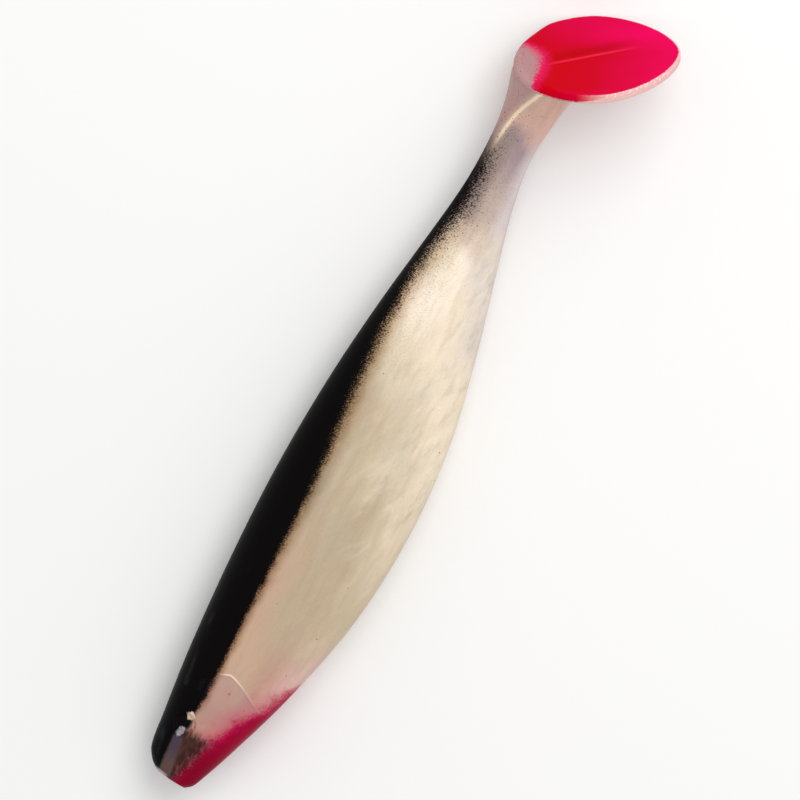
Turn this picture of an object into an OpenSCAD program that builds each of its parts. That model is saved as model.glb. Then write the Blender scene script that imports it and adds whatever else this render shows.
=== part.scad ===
// Soft paddle-tail swimbait, lying on its right flank with the tail kicked up by the paddle's rim.
// X runs from the nose to the tail, +Y is the back, +Z is the upper (left) flank.
// The straight lure is lofted from egg-shaped sections, and its tail is then bent and twisted in space.

/* [Body] */
// Length of the straight lure, paddle included, in mm: the tables below are drawn for 200
lure_l = 200; // [180:5:230]
// Half the thickness of the body at its widest
half_t = 10.2; // [9:0.1:12]
// Height of the widest line, as a share of the section's height
widest_share = 0.55; // [0.45:0.01:0.6]
// Slant of the flat nose, in degrees
nose_slant = 6; // [0:1:20]

/* [Eye seats] */
// Radius of the round seat for a stick-on eye
eye_r = 2.5; // [2:0.1:3]
// Depth of the seat's floor under the skin
eye_depth = 0.9; // [0.5:0.1:1.2]

/* [Tail] */
// Sideways bend of the tail at rest, in degrees
tail_bend = 21; // [0:0.5:25]
// Twist of the tail at rest, in degrees
tail_twist = 16; // [0:1:25]
// Rake of the paddle, its lower edge trailing, in degrees
paddle_rake = 28; // [20:0.5:35]
// Radius of the paddle's plate, which is round but for its toe
paddle_r = 18.3; // [17:0.1:20]
// Reach of the toe from the plate's centre, in radii
toe_reach = 1.03; // [1:0.01:1.06]
// Fullness of the toe's sides: 2 is round, less is more pointed
toe_fullness = 1.7; // [1.6:0.05:2]
// Thickness of the paddle's plain plate
plate_t = 1.5; // [1:0.1:2]
// Thickness of the coloured layer on the paddle's rear face
face_t = 0.5; // [0.3:0.1:0.8]
// Height of the ridge along the flared heel
ridge_y = 3.2; // [2:0.1:4.5]
// Height at which the flare has thinned to the web under it
web_y = -2; // [-4:0.1:0]

/* [Flex lines] */
// Distance from the nose to the first flex line, behind the thickest part
body_flex_x = 88; // [84:1:92]
// Distance from the nose to the second flex line
peduncle_flex_x = 122; // [118:1:126]
// Gap between two knuckles of a flex line
flex_gap = 0.09; // [0.05:0.01:0.1]

/* [Hidden] */
$fn = 48;
k = lure_l / 200;

// Stations of the straight lure: distance from the nose, back, belly, half thickness.
STATIONS = [
    [0, 3.8, -4.2, 3.3],
    [1.2, 5.4, -5.5, 4.1],
    [4, 7.1, -6.8, 5.2],
    [12, 8.2, -9.8, 6.9],
    [28, 10.1, -14.9, 8.7],
    [50, 11.7, -19.8, 9.9],
    [72, 12.4, -21.4, 10.2],
    [95, 11.7, -19.8, 9.4],
    [116, 9.8, -15.3, 7.4],
    [136, 7.2, -9.9, 4.9],
    [150, 5.7, -6.4, 3.3],
    [160, 5.6, -4.9, 2.7],
    [170, 6.4, -5.7, 2.4],
    [178, 7.6, -7.7, 2],
    [186, 9.6, -11, 1.6]
];
BACK = 1;
BELLY = 2;
HALF = 3;
// Lower edge of the dark back along the body: distance from the nose, height.
BACK_EDGE = [[0, 1.8], [20, 2], [50, 2.6], [72, 3.4], [92, 5], [116, 6.2], [136, 5.6], [150, 4.6]];

nose_len = 12;            // length over which the nose's slant fades
bend_from = 150;          // the tail bends and twists between these two distances
bend_to = 178;
rake_from = 162;          // sections start to lean towards the paddle's rake here
plate_x = 183.6;          // where the paddle's front face crosses the axis
flare_from = 156;
wrist_flex_x = 150;
twist_x = 164;
paddle_y = -7.3;          // height of the paddle's centre
toe_flex_h = 7.9;         // distance from the paddle's centre to its flex line
body_knuckle_r = 11;
peduncle_knuckle_r = 8.4;
wrist_knuckle_r = 4.2;
twist_ball_r = 6.8;
toe_knuckle_r = 1.4;
throat_front = 0.5;       // the throat's upper edge at the nose
throat_fall = 27;         // and how steeply it falls towards the belly, in degrees
BIG = 60;
BACK_PTS = 18;
FLANK_PTS = 26;
RING_PTS = 36;
RIM_STEP = 6;

function smooth(t) = let (c = max(0, min(1, t))) c * c * (3 - 2 * c);

// Cubic through the rows of a table, column c against column 0.
function row_at(t, rows, i = 0) = (i >= len(rows) - 2 || t < rows[i + 1][0]) ? i : row_at(t, rows, i + 1);
function slope(rows, c, i) =
    let (a = max(0, i - 1), b = min(len(rows) - 1, i + 1))
    (rows[b][c] - rows[a][c]) / (rows[b][0] - rows[a][0]);
function curve(t, rows, c) =
    let (i = row_at(t, rows), w = rows[i + 1][0] - rows[i][0], s = (t - rows[i][0]) / w)
    rows[i][c] * (1 - s) * (1 - s) * (1 + 2 * s) + rows[i + 1][c] * s * s * (3 - 2 * s)
    + slope(rows, c, i) * w * s * (1 - s) * (1 - s) - slope(rows, c, i + 1) * w * s * s * (1 - s);

// Lean of the section at u: the slanted nose in front, the paddle's rake behind.
function lean(u) =
    u < nose_len ? tan(nose_slant) * pow(1 - u / nose_len, 2)
    : -tan(paddle_rake) * smooth((u - rake_from) / (plate_x - rake_from));
function flare(u) = pow(max(0, (u - flare_from) / (plate_x - flare_from)), 2.2);

// Half width of the paddle's rim at the height y on its slanted plate.
function rim_half(y) = sqrt(max(0, pow(paddle_r, 2) - pow((y - paddle_y) / cos(paddle_rake), 2)));

// Point of the straight lure's section at u. g runs from 0 at the back through 1 at the belly to 2.
function skin(u, g) =
    let (h = g > 1 ? 2 - g : abs(g), side = (g > 1 || g < 0) ? -1 : 1,
         yb = curve(u, STATIONS, BACK), yv = curve(u, STATIONS, BELLY),
         w = curve(u, STATIONS, HALF) * half_t / 10.2,
         ym = yv + widest_share * (yb - yv), c = cos(180 * h), s = max(0, sin(180 * h)),
         y = ym + (c > 0 ? yb - ym : ym - yv) * c,
         b = smooth((y - web_y) / (ridge_y - web_y)), f = flare(u),
         flared = b * rim_half(y) * pow(s, 0.3) + (1 - b) * w * s)
    [u + lean(u) * y, y, side * ((1 - f) * w * s + f * flared)];

// Bend and twist of the tail at the distance x from the nose.
function bent(x) = tail_bend * max(0, min(1, (x - bend_from) / (bend_to - bend_from)));
function twisted(x) = tail_twist * smooth((x - bend_from) / (bend_to - bend_from));
bend_r = (bend_to - bend_from) / (max(tail_bend, 0.001) * PI / 180);
function spine(x) =
    let (past = max(0, x - bend_to), a = bent(x))
    x < bend_from ? [x, 0, 0]
    : [bend_from + bend_r * sin(a) + past * cos(a), 0, bend_r * (1 - cos(a)) + past * sin(a)];
function deform(p) =
    let (a = bent(p.x), t = twisted(p.x), y = p.y * cos(t) - p.z * sin(t), z = p.y * sin(t) + p.z * cos(t))
    spine(p.x) + [-z * sin(a), y, z * cos(a)];

// Share g at which the section at u has the back's lower edge.
function edge_g(u) =
    let (y = curve(u, BACK_EDGE, 1), yb = curve(u, STATIONS, BACK), yv = curve(u, STATIONS, BELLY),
         ym = yv + widest_share * (yb - yv))
    acos((y - ym) / (y > ym ? yb - ym : ym - yv)) / 180;
function steps(a, b, n) = [for (i = [0 : n]) a + (b - a) * i / n];
function back_gs(u) = steps(-edge_g(u), edge_g(u), BACK_PTS);
function flank_gs(u) = steps(edge_g(u), 2 - edge_g(u), FLANK_PTS);
function ring_gs(u) = [for (i = [0 : RING_PTS - 1]) 2 * i / RING_PTS];

// Solid through the sections at the distances us, each with the points that gs gives.
module loft(us, gs) {
    rings = [for (u = us) [for (g = gs(u)) deform(skin(u, g)) * k]];
    n = len(rings[0]);
    m = len(us);
    polyhedron(
        points = [for (r = rings) each r],
        faces = [
            [for (j = [n - 1 : -1 : 0]) j],
            for (i = [0 : m - 2], j = [0 : n - 1])
                let (a = i * n + j, b = i * n + (j + 1) % n, c = b + n, d = a + n)
                    each [[a, b, c], [a, c, d]],
            [for (j = [0 : n - 1]) (m - 1) * n + j]
        ]);
}

// Puts children at the distance x along the bent and twisted axis.
module at(x) {
    translate(spine(x) * k) rotate([twisted(x), -bent(x), 0]) scale(k) children();
}

// Outline of a knuckle and all that is behind it, standing along the back-to-belly axis.
module knuckle(r) {
    rotate([90, 0, 0]) linear_extrude(BIG * 2, center = true) union() {
        circle(r);
        translate([0, -BIG]) square([BIG * 3, BIG * 2]);
    }
}
module post(r) {
    rotate([90, 0, 0]) cylinder(r = r, h = BIG * 2, center = true);
}

module eye_seats() {
    for (side = [0, 1]) mirror([0, 0, side])
        scale(k) translate([13.1, 3, 6.5]) rotate([-19, -10, 0])
            translate([0, 0, -eye_depth]) cylinder(r = eye_r, h = 6);
}

HEAD_US = [0, 0.5, 1.2, 2.4, 4, 6, 9, 12, 16, 22, 28, 36, 44, 52, 60, 68, 76, 83, body_flex_x];
MIDDLE_US = concat([for (x = [-11.5 : 5.5 : 28]) body_flex_x + x], [peduncle_flex_x]);
REAR_US = concat([for (x = [-9 : 4.5 : 22]) peduncle_flex_x + x], [wrist_flex_x]);
WRIST_US = [for (x = [-5 : 1.9 : 14]) wrist_flex_x + x];
STEM_US = [for (x = [157 : 1.8 : 184.1]) x];

// One stretch of the body between two flex lines, with a knuckle in front and a cup behind.
module stretch(us, gs, from_x, front_r, to_x, rear_r) {
    difference() {
        intersection() {
            loft(us, gs);
            at(from_x) knuckle(front_r);
        }
        at(to_x) post(rear_r + flex_gap);
    }
}

module head_part(gs) {
    difference() {
        loft(HEAD_US, gs);
        at(body_flex_x) post(body_knuckle_r + flex_gap);
        eye_seats();
    }
}

module throat_space() {
    scale(k) translate([0, throat_front, 0]) rotate([0, 0, -throat_fall])
        translate([-BIG / 2, -BIG, -BIG / 2]) cube([BIG * 1.2, BIG, BIG]);
}

module head_back() {
    color("#15130f") head_part(function(u) back_gs(u));
}

module head_flanks() {
    color("#d9cdb4") difference() {
        head_part(function(u) flank_gs(u));
        throat_space();
    }
}

module throat() {
    color("#b3123f") intersection() {
        loft(HEAD_US, function(u) flank_gs(u));
        throat_space();
    }
}

module middle_back() {
    color("#15130f")
        stretch(MIDDLE_US, function(u) back_gs(u),
                body_flex_x, body_knuckle_r, peduncle_flex_x, peduncle_knuckle_r);
}

module middle_flanks() {
    color("#ded5bf")
        stretch(MIDDLE_US, function(u) flank_gs(u),
                body_flex_x, body_knuckle_r, peduncle_flex_x, peduncle_knuckle_r);
}

module rear_back() {
    color("#15130f")
        stretch(REAR_US, function(u) back_gs(u),
                peduncle_flex_x, peduncle_knuckle_r, wrist_flex_x, wrist_knuckle_r);
}

module rear_flanks() {
    color("#ded5bf")
        stretch(REAR_US, function(u) flank_gs(u),
                peduncle_flex_x, peduncle_knuckle_r, wrist_flex_x, wrist_knuckle_r);
}

module tail_wrist() {
    color("#b9a99b") difference() {
        intersection() {
            loft(WRIST_US, function(u) ring_gs(u));
            at(wrist_flex_x) knuckle(wrist_knuckle_r);
        }
        at(twist_x) sphere(twist_ball_r + flex_gap);
    }
}

module paddle_stem() {
    color("#d3b9ab") intersection() {
        loft(STEM_US, function(u) ring_gs(u));
        at(twist_x) union() {
            sphere(twist_ball_r);
            translate([0, -BIG / 2, -BIG / 2]) cube(BIG);
        }
    }
}

// Outline of the paddle: a circle whose toe half is drawn out to a blunt point.
function rim_r(a) =
    let (n = toe_fullness)
    cos(a) <= 0 ? paddle_r
    : paddle_r * pow(pow(cos(a) / toe_reach, n) + pow(abs(sin(a)), n), -1 / n);
module outline() {
    polygon([for (a = [0 : RIM_STEP : 359]) rim_r(a) * [cos(a), sin(a)]]);
}

// Puts children in the paddle's own frame: Z is the rear face's outward normal, X runs from heel to toe.
// The origin is at the centre of the plate's front face.
module in_paddle() {
    at(plate_x) rotate([-90, 0, paddle_rake - 90])
        translate([-paddle_y / cos(paddle_rake), 0, 0]) children();
}

// One layer of the plate from z0 to z0 + t: the heel's share or, past the flex line, the toe's.
module paddle_layer(z0, t, toe) {
    mid = (plate_t + face_t) / 2;
    in_paddle() {
        if (toe) {
            intersection() {
                translate([0, 0, z0]) linear_extrude(t) outline();
                translate([toe_flex_h, 0, mid]) rotate([90, 0, 0])
                    linear_extrude(BIG, center = true) union() {
                        circle(toe_knuckle_r);
                        translate([0, -BIG / 2]) square(BIG);
                    }
            }
        } else {
            difference() {
                translate([0, 0, z0]) linear_extrude(t) outline();
                translate([toe_flex_h, 0, mid]) rotate([90, 0, 0]) {
                    cylinder(r = toe_knuckle_r + flex_gap, h = BIG, center = true);
                    translate([0, -BIG / 2, -BIG / 2]) cube(BIG);
                }
            }
        }
    }
}

module paddle_plate() {
    color("#dcaaa6") paddle_layer(0, plate_t, false);
}

module paddle_face() {
    color("#e0002d") paddle_layer(plate_t, face_t, false);
}

module toe_plate() {
    color("#dcaaa6") paddle_layer(0, plate_t, true);
}

module toe_face() {
    color("#e0002d") paddle_layer(plate_t, face_t, true);
}

head_back();
head_flanks();
throat();
middle_back();
middle_flanks();
rear_back();
rear_flanks();
tail_wrist();
paddle_stem();
paddle_plate();
paddle_face();
toe_plate();
toe_face();
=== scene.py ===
import bmesh
import bpy
import numpy as np
from mathutils import Matrix, Vector


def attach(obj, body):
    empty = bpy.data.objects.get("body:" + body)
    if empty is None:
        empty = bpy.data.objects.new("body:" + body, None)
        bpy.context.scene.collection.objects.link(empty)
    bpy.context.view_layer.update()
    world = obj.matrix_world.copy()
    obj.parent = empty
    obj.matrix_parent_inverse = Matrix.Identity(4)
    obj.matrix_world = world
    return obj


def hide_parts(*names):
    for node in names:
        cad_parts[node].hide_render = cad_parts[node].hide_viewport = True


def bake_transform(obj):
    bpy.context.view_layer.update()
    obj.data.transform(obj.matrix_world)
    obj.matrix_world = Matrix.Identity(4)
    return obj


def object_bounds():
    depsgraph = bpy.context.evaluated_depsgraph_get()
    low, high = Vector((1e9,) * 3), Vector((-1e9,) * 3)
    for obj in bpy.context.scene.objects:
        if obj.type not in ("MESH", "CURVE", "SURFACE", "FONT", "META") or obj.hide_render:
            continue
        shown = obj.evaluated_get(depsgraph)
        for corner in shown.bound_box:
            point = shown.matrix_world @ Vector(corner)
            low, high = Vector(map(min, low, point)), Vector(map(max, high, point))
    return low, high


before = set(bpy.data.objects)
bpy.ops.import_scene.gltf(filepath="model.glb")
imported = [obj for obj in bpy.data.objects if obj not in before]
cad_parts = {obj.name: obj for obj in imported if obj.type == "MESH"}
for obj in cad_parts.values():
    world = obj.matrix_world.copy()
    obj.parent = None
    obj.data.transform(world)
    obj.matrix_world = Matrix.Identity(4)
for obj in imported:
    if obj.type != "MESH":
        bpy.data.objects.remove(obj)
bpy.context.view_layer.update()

# --- Head: flanks -------------------------------------------------------------
# The front of the moulding, from the flat nose to behind the thickest part. It is poured soft pearl plastic,
# egg-shaped in section, with eye seats, gill covers and a fine parting line pressed in by the mould.

# Distance from the nose, height of the back, depth of the belly, half the thickness, all in mm.
LURE_SECTIONS = np.array([
    (0, 3.8, -4.2, 3.3), (1.2, 5.4, -5.5, 4.1), (4, 7.1, -6.8, 5.2), (12, 8.2, -9.8, 6.9),
    (28, 10.1, -14.9, 8.7), (50, 11.7, -19.8, 9.9), (72, 12.4, -21.4, 10.2), (95, 11.7, -19.8, 9.4),
    (116, 9.8, -15.3, 7.4), (136, 7.2, -9.9, 4.9), (150, 5.7, -6.4, 3.3), (160, 5.6, -4.9, 2.7),
    (170, 6.4, -5.7, 2.4), (178, 7.6, -7.7, 2), (186, 9.6, -11, 1.6),
])
SKIN_END = 186
# Where the back is parted from the flanks: distance from the nose, height.
BACK_EDGE = np.array([(0, 1.8), (20, 2), (50, 2.6), (72, 3.4), (92, 5), (116, 6.2), (136, 5.6), (150, 4.6)])
WIDEST_SHARE = 0.55
NOSE_SLANT, NOSE_LENGTH = np.radians(6), 12
TAIL_BEND, TAIL_TWIST, BEND_FROM, BEND_TO = np.radians(21), np.radians(16), 150, 178
PADDLE_RAKE, PADDLE_RADIUS, PADDLE_X, PADDLE_Y = np.radians(28), 18.3, 183.6, -7.3
FLARE_FROM, RAKE_FROM, RIDGE_Y, WEB_Y = 156, 162, 3.2, -2


def ease(t):
    t = np.clip(t, 0, 1)
    return t * t * (3 - 2 * t)


def along(x, rows, column):
    """The smooth line through one column of a table of sections, read at x."""
    at = np.clip(np.searchsorted(rows[:, 0], x, side="right") - 1, 0, len(rows) - 2)
    last = len(rows) - 1

    def slope(i):
        a, b = np.maximum(i - 1, 0), np.minimum(i + 1, last)
        return (rows[b, column] - rows[a, column]) / (rows[b, 0] - rows[a, 0])

    width = rows[at + 1, 0] - rows[at, 0]
    t = (x - rows[at, 0]) / width
    return (
        rows[at, column] * (1 - t) ** 2 * (1 + 2 * t) + rows[at + 1, column] * t * t * (3 - 2 * t)
        + slope(at) * width * t * (1 - t) ** 2 - slope(at + 1) * width * t * t * (1 - t)
    )


def straight_skin(u, g):
    """The straight lure's surface. u is mm from the nose; g runs from 0 at the back to 1 at the belly, and
    on up the other side to 2."""
    g = np.mod(g, 2)
    h = np.where(g > 1, 2 - g, g)
    side = np.where(g > 1, -1, 1)
    back, belly = along(u, LURE_SECTIONS, 1), along(u, LURE_SECTIONS, 2)
    half = along(u, LURE_SECTIONS, 3)
    middle = belly + WIDEST_SHARE * (back - belly)
    c, s = np.cos(np.pi * h), np.clip(np.sin(np.pi * h), 0, 1)
    y = middle + np.where(c > 0, back - middle, middle - belly) * c
    above_web = ease((y - WEB_Y) / (RIDGE_Y - WEB_Y))
    rim = np.sqrt(np.clip(PADDLE_RADIUS**2 - ((y - PADDLE_Y) / np.cos(PADDLE_RAKE)) ** 2, 0, None))
    flare = np.clip((u - FLARE_FROM) / (PADDLE_X - FLARE_FROM), 0, None) ** 2.2
    flared = above_web * rim * s**0.3 + (1 - above_web) * half * s
    lean = np.where(
        u < NOSE_LENGTH, np.tan(NOSE_SLANT) * np.clip(1 - u / NOSE_LENGTH, 0, 1) ** 2,
        -np.tan(PADDLE_RAKE) * ease((u - RAKE_FROM) / (PADDLE_X - RAKE_FROM)),
    )
    return np.stack([u + lean * y, y, side * ((1 - flare) * half * s + flare * flared)], axis=-1)


# The left eye seat's floor, its radius, and the way it faces.
EYE_FLOOR, EYE_RADIUS = np.array([13.1, 2.7, 5.6]), 2.45
EYE_AXIS = np.array([-0.164, 0.326, 0.931])


def gill_edge(y):
    """How far from the nose the gill cover's rear edge lies at each height."""
    return 28.1 - np.where(y < -0.9, 0.21, 0.29) * np.abs(y + 0.9) ** 1.4


HEEL_RIDGE_Y = 4.3


def pressed_in(p):
    """Adds what the mould's walls press into the skin: eye seats, gill covers, the parting line."""
    x, y, z = p[..., 0], p[..., 1], p[..., 2]
    side = np.where(z < 0, -1, 1)
    q = p.copy()
    # gill cover: a thin raised lip along its rear edge, and the cheek in front of it a touch proud
    behind = x - gill_edge(y)
    on_gill = ease((y + 13.2) / 2) * ease((3.4 - y) / 1.6)
    lip = 0.26 * np.exp(-((behind + 0.2) / 0.26) ** 2) + 0.16 * ease(-behind / 0.5) * ease((behind + 7) / 7)
    # parting line: a fine raised line over the back and under the belly
    flash = 0.12 * np.exp(-(z / 0.22) ** 2) * ease((x - 2) / 4) * ease((150 - x) / 20)
    # heel ridge: a raised lip along each side of the flare
    on_heel = 0.35 * np.exp(-((y - HEEL_RIDGE_Y) / 0.45) ** 2) * ease((x - 159) / 7)
    q[..., 2] += side * (lip * on_gill + on_heel) - 0.004 * z
    q[..., 1] += np.sign(y + 3) * flash - 0.013 * y * ease(x / 6) * ease((160 - x) / 20)
    # eye seat: a flat round floor with a soft lip
    axis = EYE_AXIS * np.stack([np.ones_like(z), np.ones_like(z), side], axis=-1)
    floor = EYE_FLOOR * np.stack([np.ones_like(z), np.ones_like(z), side], axis=-1)
    from_floor = ((q - floor) * axis).sum(-1)
    flat = q - floor - from_floor[..., None] * axis
    radius = np.sqrt((flat**2).sum(-1))
    sunk = (1 - ease((radius - EYE_RADIUS + 0.35) / 0.8)) * (np.abs(from_floor) < 4)
    dished = from_floor - 0.12 * ease(1 - radius / EYE_RADIUS)
    q -= (dished * sunk)[..., None] * axis
    return q


def laid_down(p):
    """Bends and twists the straight lure's tail as it lies, and turns mm into metres."""
    x, y, z = p[..., 0], p[..., 1], p[..., 2]
    share = np.clip((x - BEND_FROM) / (BEND_TO - BEND_FROM), 0, 1)
    bend, twist, past = TAIL_BEND * share, TAIL_TWIST * ease(share), np.clip(x - BEND_TO, 0, None)
    radius = (BEND_TO - BEND_FROM) / TAIL_BEND
    sx = np.where(x < BEND_FROM, x, BEND_FROM + radius * np.sin(bend) + past * np.cos(bend))
    sz = np.where(x < BEND_FROM, 0, radius * (1 - np.cos(bend)) + past * np.sin(bend))
    ty, tz = y * np.cos(twist) - z * np.sin(twist), y * np.sin(twist) + z * np.cos(twist)
    return np.stack([sx - tz * np.sin(bend), ty, sz + tz * np.cos(bend)], axis=-1) / 1000


def moulded(u, g):
    return laid_down(pressed_in(straight_skin(u, g)))


def back_edge_turn(u):
    """The g at which the section at u has the sprayed back's lower edge."""
    y = along(u, BACK_EDGE, 1)
    back, belly = along(u, LURE_SECTIONS, 1), along(u, LURE_SECTIONS, 2)
    middle = belly + WIDEST_SHARE * (back - belly)
    return np.arccos((y - middle) / np.where(y > middle, back - middle, middle - belly)) / np.pi


def steps(*stops):
    """Stations from (value, step) pairs: each stretch runs to the next value in about that step."""
    out = [stops[0][0]]
    for (a, step), (b, _) in zip(stops, stops[1:]):
        n = max(1, round((b - a) / step))
        out += [a + (b - a) * i / n for i in range(1, n + 1)]
    return np.array(out)


# Where the sprays stop: distance from the nose, height of the spray's edge.
BLACK_EDGE = np.array([
    (0, 3.1), (9, 4), (11, 3.9), (14, 2.8), (18, 1.7), (30, 1.9), (42, 2.4), (58, 2.8), (74, 3.2),
    (82, 3.7), (90, 4.5), (98, 5.2), (114, 6), (126, 5.8), (136, 4.5), (146, 2.7), (154, 2.8), (160, 3.8),
])
CRIMSON_EDGE = np.array([
    (0, 0.3), (6.5, -1.9), (12, -3.6), (17.5, -6.6), (20.5, -8), (23, -10.8), (27, -12.4), (30, -14),
    (32, -16), (36, -21), (46, -34),
])


def spray_marks(p):
    """For the sprayer: mm above the black's edge, mm below the crimson's, and share of the height."""
    x, y = p[..., 0], p[..., 1]
    at = np.clip(x, 0, SKIN_END)
    back, belly = along(at, LURE_SECTIONS, 1), along(at, LURE_SECTIONS, 2)
    black = np.interp(x, BLACK_EDGE[:, 0], BLACK_EDGE[:, 1])
    crimson = np.interp(x, CRIMSON_EDGE[:, 0], CRIMSON_EDGE[:, 1])
    return np.stack([y - black, crimson - y, (y - belly) / (back - belly)], axis=-1)


def cast_marks(p):
    """For the sprayer: mm behind the gill cover's edge, and mm from the eye seat, to tail and to back."""
    x, y = p[..., 0], p[..., 1]
    return np.stack([x - gill_edge(y), x - EYE_FLOOR[0], y - EYE_FLOOR[1]], axis=-1)


def skin_piece(name, u, turns):
    """One closed length of skin through the stations u. turns(u) gives each ring's g values.
    A band that leaves part of the section out is closed across, and both ends are closed."""
    ring = np.stack([turns(v) for v in u])
    stations = np.repeat(u[:, None], ring.shape[1], axis=1)
    whole = abs((ring[0, -1] - ring[0, 0]) - 2) < 1e-6
    if whole:
        ring, stations = ring[:, :-1], stations[:, :-1]
    rows, cols = ring.shape
    rest = straight_skin(stations, ring)
    place = laid_down(pressed_in(rest))
    du, dg = 0.02, 0.0008
    ahead = moulded(np.minimum(stations + du, SKIN_END), ring)
    behind = moulded(np.maximum(stations - du, 0), ring)
    across = moulded(stations, ring + dg) - moulded(stations, ring - dg)
    normal = np.cross(ahead - behind, across)
    outwards = normal * (place - place.mean(axis=1, keepdims=True))
    normal *= np.sign(outwards.sum(axis=(1, 2), keepdims=True))
    normal /= np.linalg.norm(normal, axis=-1, keepdims=True) + 1e-12
    faces, is_skin = [], []
    for i in range(rows - 1):
        for j in range(cols if whole else cols - 1):
            k = (j + 1) % cols
            faces.append((i * cols + j, i * cols + k, (i + 1) * cols + k, (i + 1) * cols + j))
            is_skin.append(1)
        if not whole:
            faces.append((i * cols + cols - 1, i * cols, (i + 1) * cols, (i + 1) * cols + cols - 1))
            is_skin.append(0)
    for i, flip in ((0, False), (rows - 1, True)):
        ladder = [(i * cols + j, i * cols + j + 1, i * cols + cols - 2 - j, i * cols + cols - 1 - j)
                  for j in range((cols - 1) // 2)]
        for quad in ladder:
            quad = tuple(dict.fromkeys(quad))
            if len(quad) > 2:
                faces.append(quad[::-1] if not flip else quad)
                is_skin.append(0)
    mesh = bpy.data.meshes.new(name)
    mesh.from_pydata(place.reshape(-1, 3).tolist(), [], faces)
    for mark, values in (("rest", rest), ("spray", spray_marks(rest)), ("cast", cast_marks(rest)),
                         ("skin_normal", normal)):
        carried = mesh.attributes.new(mark, "FLOAT_VECTOR", "POINT")
        carried.data.foreach_set("vector", values.reshape(-1, 3).astype(np.float32).ravel())
    mesh.attributes.new("is_skin", "INT", "FACE").data.foreach_set("value", is_skin)
    piece = bpy.data.objects.new(name, mesh)
    bpy.context.scene.collection.objects.link(piece)
    face_outwards(mesh)
    return piece


def face_outwards(mesh):
    bm = bmesh.new()
    bm.from_mesh(mesh)
    bmesh.ops.recalc_face_normals(bm, faces=bm.faces)
    if bm.calc_volume(signed=True) < 0:
        bmesh.ops.reverse_faces(bm, faces=bm.faces)
    bm.to_mesh(mesh)
    bm.free()


def smooth_skin(piece):
    """Shades the skin by the mould's own surface, so that neighbouring pieces meet without a seam."""
    mesh = piece.data
    mesh.shade_smooth()
    normals = np.empty(len(mesh.vertices) * 3, np.float32)
    mesh.attributes["skin_normal"].data.foreach_get("vector", normals)
    normals = normals.reshape(-1, 3)
    is_skin = np.empty(len(mesh.polygons), np.int32)
    mesh.attributes["is_skin"].data.foreach_get("value", is_skin)
    corner = np.empty(len(mesh.loops), np.int32)
    mesh.loops.foreach_get("vertex_index", corner)
    split = normals[corner]
    for polygon, skin in zip(mesh.polygons, is_skin):
        if not skin:
            split[polygon.loop_start : polygon.loop_start + polygon.loop_total] = polygon.normal
    split /= np.linalg.norm(split, axis=1, keepdims=True) + 1e-12
    mesh.normals_split_custom_set(split.tolist())
    mesh.attributes.remove(mesh.attributes["skin_normal"])


# Closest at the nose, the eye seat and the gill cover, where the skin turns quickest.
HEAD_STATIONS = steps(
    (0, 0.15), (0.9, 0.3), (3, 0.5), (9, 0.15), (16.4, 0.4), (20, 0.22), (28.6, 0.8), (105, 1),
)


def mirrored(half):
    """Columns over a whole band, from those over its first half."""
    return np.concatenate([half, 1 - half[-2::-1]])


FLANK_COLUMNS = mirrored(steps((0, 0.0045), (0.09, 0.012), (0.5, 1)))


def flank_turns(u):
    edge = back_edge_turn(u)
    return edge + (2 - 2 * edge) * FLANK_COLUMNS


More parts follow.
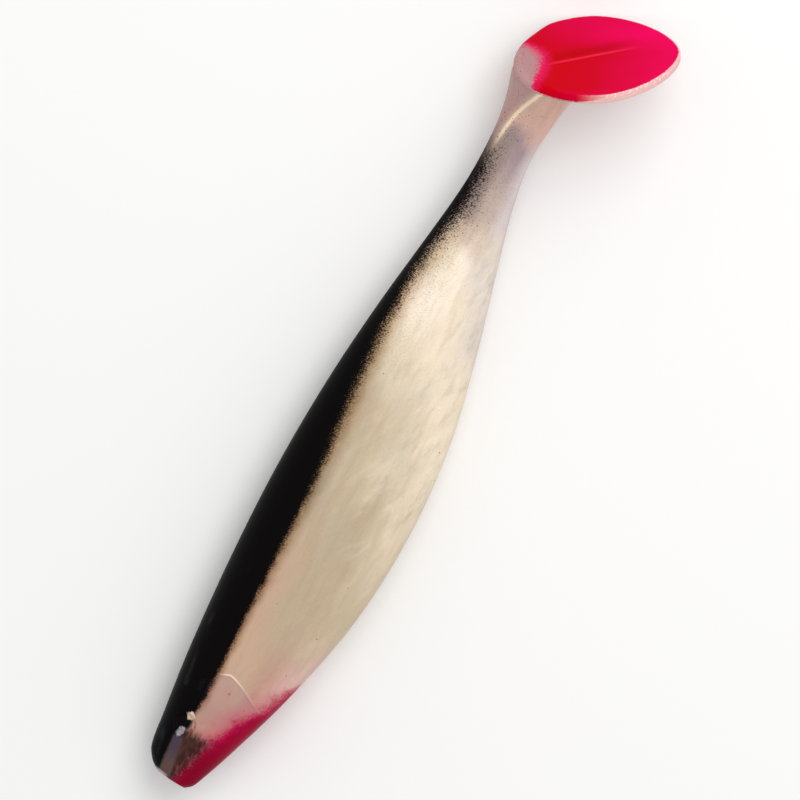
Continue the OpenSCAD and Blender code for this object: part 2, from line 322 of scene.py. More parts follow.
class Paint:
    """The paint on a piece: the colour laid so far, and the sums that say where the next one goes."""

    def __init__(self, name):
        self.material = bpy.data.materials.new(name)
        self.material.use_nodes = True
        self.tree = self.material.node_tree
        self.shader = self.tree.nodes["Principled BSDF"]
        self.colour = None

    def node(self, kind, inputs=None, **settings):
        made = self.tree.nodes.new(kind)
        for key, value in settings.items():
            setattr(made, key, value)
        for key, value in (inputs or {}).items():
            if isinstance(value, bpy.types.NodeSocket):
                self.tree.links.new(value, made.inputs[key])
            else:
                made.inputs[key].default_value = value
        return made

    def read(self, mark, output="Vector"):
        """A mark that the mesh carries at each of its points."""
        return self.node("ShaderNodeAttribute", attribute_name=mark).outputs[output]

    def parts(self, vector):
        return self.node("ShaderNodeSeparateXYZ", {0: vector}).outputs

    def maths(self, operation, a, b=0.0):
        return self.node("ShaderNodeMath", {0: a, 1: b}, operation=operation).outputs[0]

    def plus(self, *values):
        total = values[0]
        for value in values[1:]:
            total = self.maths("ADD", total, value)
        return total

    def minus(self, a, b):
        return self.maths("SUBTRACT", a, b)

    def times(self, *values):
        product = values[0]
        for value in values[1:]:
            product = self.maths("MULTIPLY", product, value)
        return product

    def off(self, value, middle):
        """How far a value is from a middle, to either side."""
        return self.maths("ABSOLUTE", self.minus(value, middle))

    def fade(self, value, low, high, to_low=0.0, to_high=1.0):
        return self.node("ShaderNodeMapRange", {"Value": value, "From Min": low, "From Max": high,
                         "To Min": to_low, "To Max": to_high}, interpolation_type="SMOOTHSTEP").outputs[0]

    def grain(self, place, scale, detail, rough, stretch=(1, 1, 1), turn=0.0, offset=(0, 0, 0)):
        """Noise around 0.5, at so many grains a mm, drawn out along a line turned from the lure's axis."""
        moved = self.node("ShaderNodeMapping", {"Vector": place, "Location": offset, "Rotation": (0, 0, turn),
                          "Scale": stretch}, vector_type="TEXTURE")
        return self.node("ShaderNodeTexNoise", {"Vector": moved.outputs[0], "Scale": scale, "Detail": detail,
                         "Roughness": rough}).outputs["Fac"]

    def swing(self, noise, reach):
        """Noise around 0.5, turned into a swing of so much to each side."""
        return self.times(self.minus(noise, 0.5), reach * 2)

    def spot(self, across, along_it, centre, size):
        """1 inside a soft oval, 0 outside."""
        a = self.maths("DIVIDE", self.minus(across, centre[0]), size[0])
        b = self.maths("DIVIDE", self.minus(along_it, centre[1]), size[1])
        return self.fade(self.plus(self.times(a, a), self.times(b, b)), 1.25, 0.45)

    def dots(self, place, scale, size, chance, offset=(0, 0, 0)):
        """Round dots, scale of them to the mm, each there by chance."""
        moved = self.node("ShaderNodeMapping", {"Vector": place, "Location": offset})
        cells = self.node("ShaderNodeTexVoronoi", {"Vector": moved.outputs[0], "Scale": scale,
                          "Randomness": 1.0})
        lot = self.node("ShaderNodeSeparateColor", {0: cells.outputs["Color"]}).outputs[0]
        inside = self.fade(cells.outputs["Distance"], size * scale, size * scale * 0.6)
        return self.times(inside, self.maths("LESS_THAN", lot, chance))

    def ramp(self, value, stops):
        made = self.node("ShaderNodeValToRGB", {0: value})
        ladder = made.color_ramp
        ladder.elements[0].position, ladder.elements[0].color = stops[0][0], (*stops[0][1], 1)
        ladder.elements[1].position, ladder.elements[1].color = stops[-1][0], (*stops[-1][1], 1)
        for position, colour in stops[1:-1]:
            ladder.elements.new(position).color = (*colour, 1)
        return made.outputs[0]

    def mix(self, share, a, b, mode="MIX"):
        made = self.node("ShaderNodeMix", data_type="RGBA", blend_type=mode)
        for key, value in ((0, share), (6, a), (7, b)):
            if isinstance(value, bpy.types.NodeSocket):
                self.tree.links.new(value, made.inputs[key])
            else:
                made.inputs[key].default_value = (*value, 1)
        return made.outputs[2]

    def lay(self, share, colour, mode="MIX"):
        """Lays a colour over what is there, by its share."""
        self.colour = self.mix(share, self.colour, colour, mode)

    def finish(self, roughness, specular, relief):
        """Joins the colour, the gloss and the relief of the surface to the plastic."""
        self.tree.links.new(self.colour, self.shader.inputs["Base Color"])
        self.tree.links.new(roughness, self.shader.inputs["Roughness"])
        self.shader.inputs["Specular IOR Level"].default_value = specular
        bump = self.node("ShaderNodeBump", {"Height": relief, "Strength": 0.5, "Distance": 0.001})
        self.tree.links.new(bump.outputs[0], self.shader.inputs["Normal"])


def screen(r, g, b):
    """A colour as a paint chart gives it, 0 to 255, turned into light."""
    shares = (r / 255, g / 255, b / 255)
    return tuple(v / 12.92 if v <= 0.04045 else ((v + 0.055) / 1.055) ** 2.4 for v in shares)


PEARL = {
    "rose": screen(190, 134, 128), "rosy tan": screen(190, 146, 132), "tan": screen(198, 166, 142),
    "sand": screen(189, 170, 143), "buff": screen(204, 186, 158), "cream": screen(224, 207, 180),
    "ivory": screen(238, 222, 198), "milk": screen(253, 238, 219), "bone": screen(224, 212, 203),
    "shell": screen(216, 196, 179), "stone": screen(188, 170, 160), "dusk": screen(162, 144, 140),
    "mauve": screen(166, 145, 152), "lilac": screen(210, 198, 200), "peach": screen(218, 180, 166),
    "blush": screen(222, 182, 172), "salmon": screen(226, 188, 174),
}
# The pearl at stations along the lure, from the belly up to the back's edge. The tones hold painted light as
# well as the pearl's own colour: darker at the head, lightest near 120 mm where the flank tapers towards the
# lamp, and lighter along the belly to offset its shade.
PEARL_AND_PAINTED_LIGHT_ALONG = (
    (14, "rose", "rose", "rosy tan", "rosy tan"), (32, "blush", "rosy tan", "tan", "tan"),
    (50, "buff", "sand", "sand", "tan"), (74, "cream", "sand", "sand", "sand"),
    (90, "ivory", "cream", "buff", "sand"), (106, "ivory", "ivory", "cream", "cream"),
    (121, "bone", "ivory", "milk", "milk"),
    (132, "bone", "bone", "milk", "ivory"), (140, "bone", "shell", "shell", "shell"),
    (148, "lilac", "stone", "stone", "dusk"), (161, "lilac", "mauve", "mauve", "dusk"),
    (168, "blush", "peach", "peach", "peach"), (176, "salmon", "salmon", "salmon", "peach"),
)
SHARES = (0.08, 0.3, 0.47, 0.62)


class SkinPaint(Paint):
    """Paint on the lure's skin, with the marks its meshes carry and the grain that several colours share."""

    def __init__(self, name):
        super().__init__(name)
        self.rest = self.read("rest")
        self.x, self.y, self.z = self.parts(self.rest)
        self.above_edge, self.in_throat, self.share = self.parts(self.read("spray"))
        self.behind_gill, self.eye_tailwards, self.eye_backwards = self.parts(self.read("cast"))
        self.clouds = self.grain(self.rest, 0.06, 3, 0.55, stretch=(1.5, 0.8, 0.8), offset=(3, 1, 4))
        self.dust = self.grain(self.rest, 2.4, 3, 0.65)
        self.streaks = self.grain(self.rest, 0.9, 4, 0.62, stretch=(2, 0.8, 1), turn=0.3, offset=(7, 7, 7))


def pour_pearl_and_painted_light(on):
    """Pearl with painted light in its tones, carried from one station to the next; cloudy patches let the
    stations wander.
    """
    patches = on.grain(on.rest, 0.09, 3, 0.6, stretch=(1.6, 1, 1), offset=(9, 9, 1))
    wander_x = on.plus(on.x, on.swing(on.clouds, 11))
    wander_y = on.plus(on.share, on.swing(patches, 0.16))
    before = 0
    for at, *tones in PEARL_AND_PAINTED_LIGHT_ALONG:
        band = on.ramp(wander_y, [(level, PEARL[tone]) for level, tone in zip(SHARES, tones)])
        on.colour = on.mix(on.fade(wander_x, before, at), on.colour, band) if before else band
        before = at


def swirl_pearl(on):
    """The flow of the pour: feathery wisps that slant down towards the tail, and fainter grey ones."""
    on_body = on.times(on.fade(on.x, 52, 82, 0.2, 1), on.fade(on.x, 152, 134, 0.1, 1))
    on_belly = on.times(on.fade(on.share, 0.62, 0.2, 0.25, 1), on_body)
    feather = on.grain(on.rest, 0.36, 4, 0.6, stretch=(3, 0.8, 1), turn=-0.45)
    on.lay(on.times(on.fade(feather, 0.46, 0.72, 0, 0.36), on_belly), screen(250, 236, 212))
    shade = on.grain(on.rest, 0.34, 4, 0.62, stretch=(2.6, 0.7, 1), turn=-0.38, offset=(20, 5, 2))
    on.lay(on.times(on.fade(shade, 0.48, 0.74, 0, 0.26), on_belly), screen(156, 142, 130))
    long_wisps = on.grain(on.rest, 0.13, 4, 0.55, stretch=(3.4, 0.8, 1), turn=-0.06, offset=(2, 8, 5))
    on.lay(on.times(on.fade(long_wisps, 0.44, 0.72, 0, 0.22), on_body), screen(240, 222, 190))
    brushed = on.grain(on.rest, 0.5, 3, 0.6, stretch=(5, 0.7, 1), turn=0.02, offset=(4, 1, 7))
    on.lay(on.fade(brushed, 0.45, 0.7, 0, 0.16), screen(168, 140, 116))
    cool = on.grain(on.rest, 0.1, 3, 0.55, stretch=(2, 1, 1), turn=-0.2, offset=(40, 8, 5))
    on.lay(on.times(on.fade(cool, 0.48, 0.72, 0, 0.2), on_body), screen(178, 176, 166))
    on.lay(on.fade(on.dust, 0.54, 0.7, 0, 0.16), screen(132, 108, 92))
    stray_specks = on.dots(on.rest, 0.30, 0.26, 0.3)
    on.lay(on.times(stray_specks, 0.65), screen(92, 58, 50))


def tint_cheek_and_paint_lip_highlight(on):
    """The cheek is rosier and greyer, and a painted highlight marks the light on the gill cover's raised lip.
    """
    on_cheek = on.times(on.fade(on.behind_gill, 0.3, -0.6), on.fade(on.x, 13, 18))
    on.lay(on.times(on_cheek, 0.38), screen(176, 138, 138))
    # painted highlight along the lip, strongest near its top bend
    lip_highlight = on.times(on.fade(on.off(on.behind_gill, -0.2), 0.34, 0.06), on.fade(on.y, -12, -7),
                      on.fade(on.y, 3.2, 1.6))
    top_of_lip = on.fade(on.off(on.y, -1.4), 4.5, 0.5, 0.34, 1)
    on.lay(on.times(lip_highlight, top_of_lip, 0.8), screen(246, 220, 204))


plastic = SkinPaint("sprayed_pearl_plastisol")
pour_pearl_and_painted_light(plastic)
swirl_pearl(plastic)
tint_cheek_and_paint_lip_highlight(plastic)


def finish_skin(piece, slot, *nodes):
    smooth_skin(piece)
    piece.data.materials.append(plastic.material)
    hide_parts(*nodes)


# The throat is parted from the flanks on a plane that falls from the nose to the belly.
THROAT_FRONT, THROAT_FALL = 0.5, np.radians(27)
throat_point = Vector((0, THROAT_FRONT / 1000, 0))
throat_normal = Vector((np.sin(THROAT_FALL), np.cos(THROAT_FALL), 0))


def parted(piece, point, normal, keep_above):
    """Keeps one side of a plane and closes the cut."""
    bm = bmesh.new()
    bm.from_mesh(piece.data)
    bmesh.ops.bisect_plane(bm, geom=bm.verts[:] + bm.edges[:] + bm.faces[:], dist=1e-8, plane_co=point,
                           plane_no=normal, clear_inner=keep_above, clear_outer=not keep_above)
    made = bmesh.ops.holes_fill(bm, edges=[e for e in bm.edges if e.is_boundary], sides=0)
    mark = bm.faces.layers.int["is_skin"]
    for face in made["faces"]:
        face[mark] = 0
    bmesh.ops.triangulate(bm, faces=made["faces"])
    bmesh.ops.recalc_face_normals(bm, faces=bm.faces)
    bm.to_mesh(piece.data)
    bm.free()


head_flanks = skin_piece("lure_head_flanks", HEAD_STATIONS, flank_turns)
parted(head_flanks, throat_point, throat_normal, True)
finish_skin(head_flanks, "pearl_flank", "head_flanks")
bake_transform(head_flanks)

# --- Throat -------------------------------------------------------------------
# The same plastic under the head, sprayed crimson before the back is. The spray's upper edge is soft, with a
# pink haze that reaches up the cheek and a few stray drops.


def spray_throat(on):
    drift = on.swing(on.grain(on.rest, 0.4, 3, 0.6, stretch=(0.8, 1.4, 1)), 1.7)
    mist = on.swing(on.grain(on.rest, 3.4, 2, 0.7, stretch=(0.8, 1.5, 1)), 2.2)
    haze = on.fade(on.plus(on.in_throat, drift), -7, 0.5)
    on.lay(on.times(haze, on.fade(on.x, 35, 21, 0, 0.62)), screen(196, 92, 108))
    depth = on.plus(on.in_throat, on.plus(drift, mist))
    crimson = on.mix(on.fade(depth, 0, 3.4), screen(182, 14, 74), screen(154, 0, 46))
    crimson = on.mix(on.fade(on.x, 15, 5, 0, 0.6), crimson, screen(118, 0, 30))
    on.lay(on.fade(depth, -1.7, 1.5), crimson)
    drops = on.times(on.dots(on.rest, 0.36, 0.34, 0.22, offset=(3.3, 1.2, 0.4)), on.fade(on.x, 36, 28),
                     on.fade(on.in_throat, -9, -5), 0.7)
    on.lay(drops, screen(206, 58, 74))
    for centre, size in (((-0.9, -1.6), (0.55, 0.45)), ((10.9, -5.3), (0.4, 0.34))):
        splash = on.spot(on.eye_tailwards, on.eye_backwards, centre, size)
        on.lay(on.times(splash, 0.75), screen(214, 84, 78))


spray_throat(plastic)
THROAT_END = 42
throat = skin_piece("lure_throat", HEAD_STATIONS[HEAD_STATIONS < THROAT_END], flank_turns)
parted(throat, throat_point, throat_normal, False)
finish_skin(throat, "red_throat", "throat")
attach(throat, "front_body")

# --- Head: back ---------------------------------------------------------------
# The same plastic, sprayed black last, over the pearl and a little of the crimson. The facet from the nose to
# the eye seat is painted greyer than the black, the seat's walls carry painted highlights, and the nose's
# flat is a painted highlight in pinkish grey.


def wash_nose(on):
    """Brown where black mist fell on the red, streaked along the snout."""
    short_of_cheek = on.fade(on.plus(on.x, on.swing(on.streaks, 1.8)), 14, 10.6)
    over_red = on.fade(on.plus(on.in_throat, on.swing(on.streaks, 1.6)), 2.6, -0.8)
    wash = on.mix(on.fade(on.streaks, 0.36, 0.74), screen(38, 22, 20), screen(76, 44, 37))
    on.lay(on.times(short_of_cheek, over_red, 0.95), wash)


# Softness of the black's edge in mm, at shares of this length.
SOFTNESS_LENGTH = 190
EDGE_SOFTNESS = ((0.06, 0.34), (0.28, 0.75), (0.5, 1.5), (0.62, 1.25), (0.82, 1.9))


def spray_back(on):
    """Black over a gold-brown fringe, with an edge of mist that widens to the tail and a painted grey sheen
    near the head. Returns its cover.
    """
    share = on.maths("DIVIDE", on.x, SOFTNESS_LENGTH)
    softness = on.ramp(share, [(at, (soft,) * 3) for at, soft in EDGE_SOFTNESS])
    waver = on.swing(on.grain(on.rest, 0.45, 3, 0.6, stretch=(1.4, 0.8, 1)), 0.8)
    depth = on.maths("DIVIDE", on.plus(on.above_edge, waver), softness)
    hairs = on.grain(on.rest, 3.4, 3, 0.7, stretch=(0.7, 1.7, 1), turn=0.3, offset=(11, 2, 9))
    ragged = on.plus(depth, on.times(on.swing(hairs, 2.2), on.fade(on.x, 60, 150, 1, 1.7)))
    fading = on.fade(on.x, 153, 168, 1, 0)
    hair_mist = on.times(on.fade(hairs, 0.53, 0.66), on.fade(on.x, 96, 130),
                         on.fade(on.above_edge, -13, -1), fading)
    on.lay(on.times(hair_mist, 0.6), screen(104, 86, 76))
    fringe = on.times(on.fade(depth, -3.4, 0.4, 0, 0.75), on.fade(on.x, 12, 20),
                      on.fade(on.x, 150, 118, 0.3, 1), fading)
    on.lay(fringe, screen(176, 140, 92), "MULTIPLY")
    black = on.times(on.fade(ragged, -1.0, 0.75), fading)
    # painted sheen: soft grey streaks on the black near the head stand for the lamps' reflection
    sheen_streaks = on.grain(on.rest, 0.22, 4, 0.6, stretch=(2.2, 0.7, 1), turn=0.2, offset=(5, 3, 2))
    painted_sheen = on.times(on.fade(sheen_streaks, 0.56, 0.76, 0, 0.5), on.fade(on.x, 60, 26))
    on.lay(black, on.mix(painted_sheen, screen(9, 7, 7), screen(46, 44, 50)))
    return black


def grey_facet(on):
    """The flat from the nose to the eye, greyer than the black round it."""
    facet = on.times(on.fade(on.minus(on.y, on.times(on.x, 0.155)), -0.3, 0.7),
                     on.fade(on.minus(on.y, on.times(on.x, 0.1)), 3.5, 2.5), on.fade(on.x, 10.6, 9.4))
    tone = on.mix(on.fade(on.x, 8, 1.5), screen(78, 68, 80), screen(104, 84, 80))
    on.lay(on.times(facet, on.fade(on.streaks, 0.3, 0.7, 0.95, 0.6)), tone)


def paint_eye_seat_and_glints(on):
    """Painted highlights where the seat's walls catch the light, before and behind its sprayed middle."""
    across = on.plus(on.eye_tailwards, on.swing(on.streaks, 1.2))
    upwards = on.plus(on.eye_backwards, on.swing(on.clouds, 0.8))
    rear_wall_glint = on.spot(across, upwards, (2.15, -0.15), (1.1, 1.15))
    front_wall_glint = on.spot(across, upwards, (-2.1, 0.4), (1.15, 0.85))
    on.lay(on.spot(across, upwards, (0.1, 1.0), (2.2, 2.2)), screen(12, 9, 9))
    # painted highlights: a cream glint on the rear wall and a grey-white glint on the front wall
    on.lay(on.times(rear_wall_glint, on.fade(on.dust, 0.3, 0.6, 1, 0.7)), screen(236, 212, 184))
    on.lay(on.times(front_wall_glint, on.fade(on.dust, 0.3, 0.66, 1, 0.4)), screen(180, 174, 186))


def nose_flat_highlight(on):
    """The nose's flat, painted pinkish grey as a highlight where the light grazes it."""
    in_front = on.fade(on.minus(on.x, on.times(on.y, np.tan(NOSE_SLANT))), 0.85, 0.35)
    flat_highlight = on.times(in_front, on.spot(on.z, on.y, (0, 2.1), (4.4, 2.2)))
    on.lay(on.times(flat_highlight, on.fade(on.dust, 0.3, 0.7, 1, 0.7)), screen(196, 174, 180))


wash_nose(plastic)
black_cover = spray_back(plastic)
grey_facet(plastic)
paint_eye_seat_and_glints(plastic)
nose_flat_highlight(plastic)

BACK_COLUMNS = mirrored(steps((0, 0.013), (0.36, 0.03), (0.5, 1)))


def back_turns(u):
    edge = back_edge_turn(u)
    return -edge + 2 * edge * BACK_COLUMNS


head_back = skin_piece("lure_head_back", HEAD_STATIONS, back_turns)
finish_skin(head_back, "black_back", "head_back")
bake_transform(head_back)

# --- Middle -------------------------------------------------------------------
# Where the body starts to thin: poured in one with the head, of the same pearl plastic, and sprayed black
# along the back. It bends a little to each side as the tail swims.
MIDDLE_STATIONS = steps((105, 0.8), (136, 1))
middle_back = skin_piece("lure_middle_back", MIDDLE_STATIONS, back_turns)
middle_flanks = skin_piece("lure_middle_flanks", MIDDLE_STATIONS, flank_turns)
finish_skin(middle_back, "black_back", "middle_back")
finish_skin(middle_flanks, "pearl_flank", "middle_flanks")
for piece in (middle_back, middle_flanks):
    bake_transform(piece)

# --- Rear ---------------------------------------------------------------------
# The tapering rear of the same pour, where the sprayed black thins out into mist. It runs down to the wrist,
# and bends with it as the paddle kicks.
REAR_END = 157
REAR_STATIONS = steps((136, 0.7), (REAR_END, 1))
rear_back = skin_piece("lure_rear_back", REAR_STATIONS, back_turns)
rear_flanks = skin_piece("lure_rear_flanks", REAR_STATIONS, flank_turns)
finish_skin(rear_back, "black_back", "rear_back")
finish_skin(rear_flanks, "pearl_flank", "rear_flanks")
for piece in (rear_back, rear_flanks):
    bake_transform(piece)

# --- Wrist --------------------------------------------------------------------
# The thin stem of the tail, solid plastic in one with the rear and the heel. It bends and twists as the water
# pushes the paddle over.


def whole_turns(u):
    u = np.minimum(u, REAR_END)
    return np.concatenate([back_turns(u), flank_turns(u)[1:]])


WRIST_END = 171
tail_wrist = skin_piece("lure_tail_wrist", steps((REAR_END, 0.4), (WRIST_END, 1)), whole_turns)
finish_skin(tail_wrist, "pearl_tail", "tail_wrist")
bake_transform(tail_wrist)

# --- Heel ---------------------------------------------------------------------
# The stem flares into a wide heel with a sharp ridge on each side, and carries the paddle on a web. A painted
# highlight runs cream along the ridge, and mist from the black back and the red paddle has settled round it.


def tint_heel_and_paint_ridge_highlight(on):
    """Dusky above the ridge; a painted highlight along it, a soft sandy glow to both sides and cream on its
    crest.
    """
    over_ridge = on.times(on.fade(on.y, HEEL_RIDGE_Y, HEEL_RIDGE_Y + 0.7), on.fade(on.x, 160, 167))
    on.lay(on.times(over_ridge, 0.85), screen(184, 146, 144))
    # painted highlight: the sandy glow beside the ridge and the cream line on its crest stand for the lamp's
    # light on it
    off_ridge = on.off(on.y, HEEL_RIDGE_Y)
    on.lay(on.times(on.fade(off_ridge, 1.5, 0.3, 0, 0.4), on.fade(on.x, 157, 166)), screen(232, 200, 170))
    ridge_highlight = on.times(on.fade(off_ridge, 0.6, 0.1), on.fade(on.x, 158, 167))
    on.lay(on.times(ridge_highlight, on.fade(on.dust, 0.4, 0.8, 1, 0.7)), screen(255, 232, 202))


def pepper_tail(on):
    """Fine and coarse dots of black below the back's edge, from the rear to the heel."""
    near_back = on.fade(on.above_edge, -5.5, 0, 0, 1)
    pepper = on.times(near_back, on.fade(on.x, 122, 140), on.fade(on.x, 188, 156, 0.12, 0.5))
    on.lay(on.times(on.dots(on.rest, 2.2, 0.13, pepper), 0.8), screen(40, 28, 28))
    coarse = on.dots(on.rest, 1.3, 0.2, on.times(pepper, 0.6), offset=(3, 2, 1))
    on.lay(on.times(coarse, 0.75), screen(52, 36, 38))


def mist_heel(on):
    """Red mist on the heel's top, off the paddle's face."""
    mist = on.plus(on.fade(on.x, 174, 188), on.swing(on.grain(on.rest, 1.5, 3, 0.7), 0.5))
    on.lay(on.times(on.fade(mist, 0.5, 1.1, 0, 0.6), on.fade(on.y, HEEL_RIDGE_Y, 7)), screen(206, 60, 96))


def gloss_skin(on):
    """A thin clear gloss over all the colours, and the skin's dimples and pores."""
    on.shader.inputs["Coat Weight"].default_value = 0.01
    on.shader.inputs["Coat Roughness"].default_value = 0.15
    roughness = on.plus(on.fade(black_cover, 0, 1, 0.4, 0.5), on.swing(on.clouds, 0.1))
    dimples = on.grain(on.rest, 0.5, 4, 0.6, stretch=(1.5, 0.8, 0.8))
    pores = on.grain(on.rest, 4.5, 2, 0.6)
    on.finish(roughness, 0.03, on.plus(on.times(dimples, 0.10), on.times(pores, 0.012)))


tint_heel_and_paint_ridge_highlight(plastic)
pepper_tail(plastic)
mist_heel(plastic)
gloss_skin(plastic)

paddle_heel = skin_piece("lure_paddle_heel", steps((WRIST_END, 0.3), (184, 1)), whole_turns)
finish_skin(paddle_heel, "pearl_tail", "paddle_stem")
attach(paddle_heel, "paddle")

# --- Paddle -------------------------------------------------------------------
# A round plate of the same soft plastic, raked back at its lower edge, in one with the heel. Its rear face is
# sprayed bright red and has a faint parting line, a little askew. The free lower edge curls in the water.
PLATE_THICK, FACE_THICK = 1.5, 0.5
TOE_REACH, TOE_FULLNESS = 1.03, 1.7
RIM_ROUNDING, HEEL_SHOULDER = 0.38, 2.0
# How far the face's parting line strays to the side for each mm from heel to toe.
LINE_SLOPE = 0.26


def paddle_place(h, w, z):
    """From the paddle's own mm (h heel to toe, w across, z out of the rear face) to the straight lure's."""
    lift = -PADDLE_Y / np.cos(PADDLE_RAKE) + h
    return np.stack([
        PADDLE_X + np.sin(PADDLE_RAKE) * lift + np.cos(PADDLE_RAKE) * z,
        -np.cos(PADDLE_RAKE) * lift + np.sin(PADDLE_RAKE) * z,
        -w,
    ], axis=-1)


def rim_radius(turn):
    """The paddle's outline: round, with its toe drawn out to a blunt point."""
    if np.cos(turn) <= 0:
        return PADDLE_RADIUS
    across = np.abs(np.sin(turn)) ** TOE_FULLNESS
    return PADDLE_RADIUS * ((np.cos(turn) / TOE_REACH) ** TOE_FULLNESS + across) ** (-1 / TOE_FULLNESS)


def paddle_layer(name, profile):
    """A layer of the paddle. profile(turn) gives the radius and height of each point from the middle of the
    front face over the rim to the middle of the rear face."""
    turns = np.linspace(0, 2 * np.pi, 192, endpoint=False)
    rings = [profile(t) for t in turns]
    radius = np.stack([r[0] for r in rings])
    height = np.stack([r[1] for r in rings])
    h, w = radius * np.cos(turns)[:, None], radius * np.sin(turns)[:, None]
    askew = (w - LINE_SLOPE * h) / 0.35
    ridge = 0.16 * np.exp(-askew**2) * ease((h + 13) / 6) * ease((12 - h) / 12)
    height = height + ridge * (height > PLATE_THICK + 0.3)
    rest = paddle_place(h, w, height)
    place = laid_down(rest)
    count = radius.shape[1]
    n, faces = len(turns), []
    order = [(0, 0)] + [(i, j) for j in range(1, count - 1) for i in range(n)] + [(0, -1)]
    points = [place[at] for at in order]
    local = [(h[at], w[at], height[at]) for at in order]
    for i in range(n):
        k = (i + 1) % n
        faces.append((0, 1 + k, 1 + i))
        for j in range(count - 3):
            a, b = 1 + j * n, 1 + (j + 1) * n
            faces.append((a + i, a + k, b + k, b + i))
        last = 1 + (count - 3) * n
        faces.append((last + i, last + k, len(points) - 1))
    mesh = bpy.data.meshes.new(name)
    mesh.from_pydata([tuple(p) for p in points], [], faces)
    carried = mesh.attributes.new("paddle", "FLOAT_VECTOR", "POINT")
    carried.data.foreach_set("vector", np.array(local, np.float32).ravel())
    to_rim = [rim_radius(np.arctan2(b, a)) - np.hypot(a, b) for a, b, _ in local]
    carried = mesh.attributes.new("to_rim", "FLOAT", "POINT")
    carried.data.foreach_set("value", np.array(to_rim, np.float32))
    face_outwards(mesh)
    mesh.shade_smooth()
    piece = bpy.data.objects.new(name, mesh)
    bpy.context.scene.collection.objects.link(piece)
    return piece


def side_inset(turn, z):
    """How far the side stands in from the outline at the height z: a small rounding at both edges, and at the
    heel a long shoulder that rolls over into the stem."""
    height = np.clip(np.asarray(z, float), 0, PLATE_THICK + FACE_THICK)
    near = np.minimum(height, PLATE_THICK + FACE_THICK - height)
    small = RIM_ROUNDING - np.sqrt(RIM_ROUNDING**2 - np.clip(RIM_ROUNDING - near, 0, None) ** 2)
    share = height / (PLATE_THICK + FACE_THICK)
    shoulder = HEEL_SHOULDER * (1 - np.sqrt(np.clip(1 - share**2, 0, None)))
    at_heel = ease((-np.cos(turn) - 0.45) / 0.35)
    return (1 - at_heel) * small + at_heel * shoulder


def plate_profile(turn):
    rim = rim_radius(turn)
    rounded = RIM_ROUNDING * (1 - np.cos(np.linspace(0, np.pi / 2, 7)[1:]))
    z = np.concatenate([rounded, np.linspace(RIM_ROUNDING, PLATE_THICK, 6)[1:]])
    side = rim - side_inset(turn, z)
    first = rim - side_inset(turn, 0.0)
    radius = np.concatenate([np.linspace(0, 1, 26) * first, side, [side[-1] * 0.9, 0]])
    height = np.concatenate([np.zeros(26), z, [PLATE_THICK, PLATE_THICK]])
    return radius, height


def face_profile(turn):
    rim, top = rim_radius(turn), PLATE_THICK + FACE_THICK
    z = top - (top - PLATE_THICK) * np.cos(np.linspace(0, np.pi / 2, 13))
    side = rim - side_inset(turn, z)
    spread = np.linspace(1, 0, 60)[1:]
    radius = np.concatenate([[0, side[0] * 0.9], side, side[-1] * spread])
    height = np.concatenate([[PLATE_THICK, PLATE_THICK], z, np.full(59, top)])
    return radius, height


class PaddlePaint(Paint):
    """Paint on the paddle, measured from its own middle: h heel to toe, w across, z out of the rear face."""

    def __init__(self, name):
        super().__init__(name)
        self.local = self.read("paddle")
        self.h, self.w, self.z = self.parts(self.local)
        self.rim = self.read("to_rim", "Fac")

    def level(self, value, low, high):
        return self.node("ShaderNodeMapRange", {"Value": value, "From Min": low, "From Max": high}).outputs[0]


# The bare plate's tones from heel to toe, and the red's from the middle of the heel's half outwards.
PLATE_TONES = ((0.0, screen(182, 140, 140)), (0.25, screen(184, 134, 140)), (0.42, screen(232, 186, 178)),
               (1.0, screen(240, 184, 188)))
RED_TONES = ((0.0, screen(204, 0, 16)), (0.35, screen(206, 0, 34)), (0.65, screen(220, 0, 66)),
             (1.0, screen(236, 0, 90)))


def pour_plate(on):
    """Bare plastic: pale pink with white flecks at the rim, mauve and peppered at the heel; the heel's
    shoulder is painted lighter to offset its shade.
    """
    on.colour = on.ramp(on.level(on.h, -19, 19), PLATE_TONES)
    # painted light: the heel's rounded shoulder turns from the lamp, so its colour is lightened against the
    # shade
    shoulder = on.times(on.fade(on.rim, 2.2, 0.3), on.fade(on.h, -8, -12))
    on.lay(on.times(shoulder, 0.6), screen(204, 164, 160))
    flecks = on.fade(on.grain(on.local, 2.0, 3, 0.7), 0.52, 0.64, 0, 0.75)
    on.lay(on.times(flecks, on.fade(on.h, -10, -3), on.fade(on.z, 0.7, 1.5, 0.2, 1)), screen(254, 240, 232))
    pink = on.grain(on.local, 2.4, 2, 0.7, offset=(5, 5, 5))
    on.lay(on.fade(pink, 0.6, 0.68, 0, 0.5), screen(206, 110, 122))
    pepper = on.dots(on.local, 1.7, 0.17, on.fade(on.h, -8, -14, 0, 0.34))
    on.lay(on.times(pepper, 0.8), screen(66, 40, 44))


def red_cover(on, from_heel_edge):
    """Where the red lies: over the rim by the heel, short of it by the toe, with a haze at the heel."""
    ragged = on.swing(on.grain(on.local, 2.6, 3, 0.7, offset=(1, 2, 3)), 0.42)
    near_heel = on.times(on.fade(on.h, 3, -6), on.fade(on.w, 10, 4))
    over_rim = on.maths("GREATER_THAN", on.plus(on.z, ragged), on.minus(1.62, on.times(near_heel, 1.2)))
    inside = on.maths("MAXIMUM", on.fade(on.plus(on.rim, on.times(ragged, 0.9)), 0.3, 0.5), near_heel)
    haze = on.fade(on.w, -6, 4, 1.0, 3.0)
    return on.times(over_rim, inside, on.fade(on.maths("DIVIDE", from_heel_edge, haze), -0.7, 0.7))


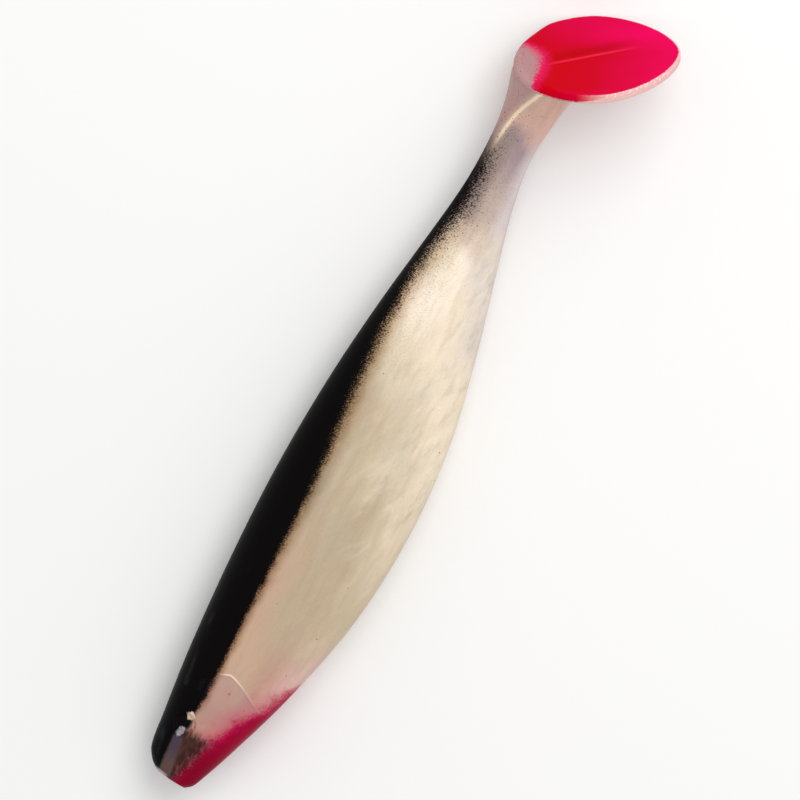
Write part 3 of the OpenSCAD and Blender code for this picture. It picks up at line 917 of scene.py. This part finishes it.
def spray_face(on):
    """Red, deeper by the heel, turning to magenta towards the toe and the upper side. Returns its cover."""
    mist = on.swing(on.grain(on.local, 1.6, 3, 0.75), 2.2)
    bow = on.times(on.w, on.w, on.fade(on.w, -3, 3, 0.024, 0.07))
    from_heel_edge = on.plus(on.h, 12.6, bow, mist)
    cover = red_cover(on, from_heel_edge)
    patches = on.swing(on.grain(on.local, 0.1, 2, 0.5), 5)
    outward = on.plus(on.times(on.h, 0.8), on.fade(on.w, -2, 9, 0, 8), on.times(on.off(on.w, 0), 0.3),
                      patches)
    red = on.ramp(on.level(outward, -8, 20), RED_TONES)
    sides = on.maths("MAXIMUM", on.fade(on.w, 8, 17), on.fade(on.w, -14, -18))
    red = on.mix(on.times(sides, 0.5), red, screen(216, 0, 66))
    red = on.mix(on.fade(from_heel_edge, 4, 0.4, 0, 0.9), red, screen(226, 30, 96))
    # the parting line runs a little askew down the face: a painted shade lies in the deeper band beside it,
    # and a painted highlight along the line itself
    askew = on.minus(on.w, on.times(on.h, LINE_SLOPE))
    ends = on.times(on.fade(on.h, -12, -8), on.fade(on.h, 12, 2, 0, 1))
    band = on.times(on.fade(askew, 0.6, 2.0), on.fade(askew, 5.4, 3.0), ends)
    red = on.mix(on.times(band, 0.5), red, screen(182, 0, 6))
    line = on.times(on.fade(on.off(askew, 0), 0.7, 0.1), ends)
    red = on.mix(on.times(line, 0.5), red, screen(244, 56, 96))
    on.lay(cover, red)
    return cover


def gloss_paddle(on, cover):
    dimples = on.grain(on.local, 0.4, 4, 0.6)
    pores = on.grain(on.local, 4.5, 2, 0.6)
    on.finish(on.fade(cover, 0, 1, 0.42, 0.5), 0.01, on.plus(on.times(dimples, 0.08), on.times(pores, 0.012)))


paddle_plastic = PaddlePaint("sprayed_paddle_plastisol")
pour_plate(paddle_plastic)
gloss_paddle(paddle_plastic, spray_face(paddle_plastic))

for name, profile, slot, nodes in (
    ("lure_paddle_plate", plate_profile, "pearl_tail", ("paddle_plate", "toe_plate")),
    ("lure_paddle_face", face_profile, "red_paddle", ("paddle_face", "toe_face")),
):
    layer = paddle_layer(name, profile)
    layer.data.materials.append(paddle_plastic.material)
    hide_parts(*nodes)
    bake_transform(layer)

# --- Studio -------------------------------------------------------------------
# The lure lies on a plain white sheet in an evenly lit room, with two large soft lamps. A long lens looks
# down on its left flank, turned so that the tail points up and to the right.
low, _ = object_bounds()
sheet = bpy.data.meshes.new("white_sheet")
SHEET_HALF = 3
corners = [(x * SHEET_HALF, y * SHEET_HALF, low.z) for x, y in ((-1, -1), (1, -1), (1, 1), (-1, 1))]
sheet.from_pydata(corners, [], [(0, 1, 2, 3)])
floor = bpy.data.objects.new("white_sheet", sheet)
bpy.context.scene.collection.objects.link(floor)
white = bpy.data.materials.new("white_sheet")
white.use_nodes = True
paper = white.node_tree.nodes["Principled BSDF"].inputs
paper["Base Color"].default_value = (0.93, 0.93, 0.93, 1)
paper["Roughness"].default_value = 0.9
paper["Specular IOR Level"].default_value = 0.1
sheet.materials.append(white)

world = bpy.data.worlds.new("soft_room")
bpy.context.scene.world = world
world.use_nodes = True
glow = world.node_tree.nodes["Background"].inputs
glow["Color"].default_value = (1, 1, 1, 1)
glow["Strength"].default_value = 0.6
bpy.context.scene.view_settings.view_transform = "Standard"

LIT_POINT = Vector((0.1, -0.005, 0))


def softbox(name, place, size, power, colour=(1, 1, 1)):
    light = bpy.data.lights.new(name, "AREA")
    light.shape, light.size, light.size_y = "RECTANGLE", size[0], size[1]
    light.energy, light.color = power, colour
    made = bpy.data.objects.new(name, light)
    bpy.context.scene.collection.objects.link(made)
    made.location = place
    made.rotation_euler = (LIT_POINT - Vector(place)).to_track_quat("-Z", "Y").to_euler()


softbox("tail_side_softbox", (0.75, -0.05, 0.85), (0.75, 0.75), 5.0, (1.0, 0.99, 0.97))
softbox("overhead_softbox", (0.1, -0.25, 1.1), (0.8, 0.8), 2.2)

camera_data = bpy.data.cameras.new("camera")
camera_data.sensor_width, camera_data.lens = 36, 401
camera = bpy.data.objects.new("camera", camera_data)
bpy.context.scene.collection.objects.link(camera)
bpy.context.scene.camera = camera
TILT_TO_TAIL, TILT_TO_BACK, TURN = 0.1, 0.026, np.radians(61.4)
look = Vector((TILT_TO_TAIL, TILT_TO_BACK, 1)).normalized()
tailwards = (Vector((1, 0, 0)) - look.x * look).normalized()
backwards = look.cross(tailwards)
right = np.cos(TURN) * tailwards - np.sin(TURN) * backwards
up = np.sin(TURN) * tailwards + np.cos(TURN) * backwards
DISTANCE = 1.991
target = Vector((0.0995, -0.0048, 0))
facing = Matrix((right, up, look)).transposed().to_4x4()
camera.matrix_world = Matrix.Translation(target + look * DISTANCE) @ facing
camera_data.clip_start, camera_data.clip_end = 0.05, 20
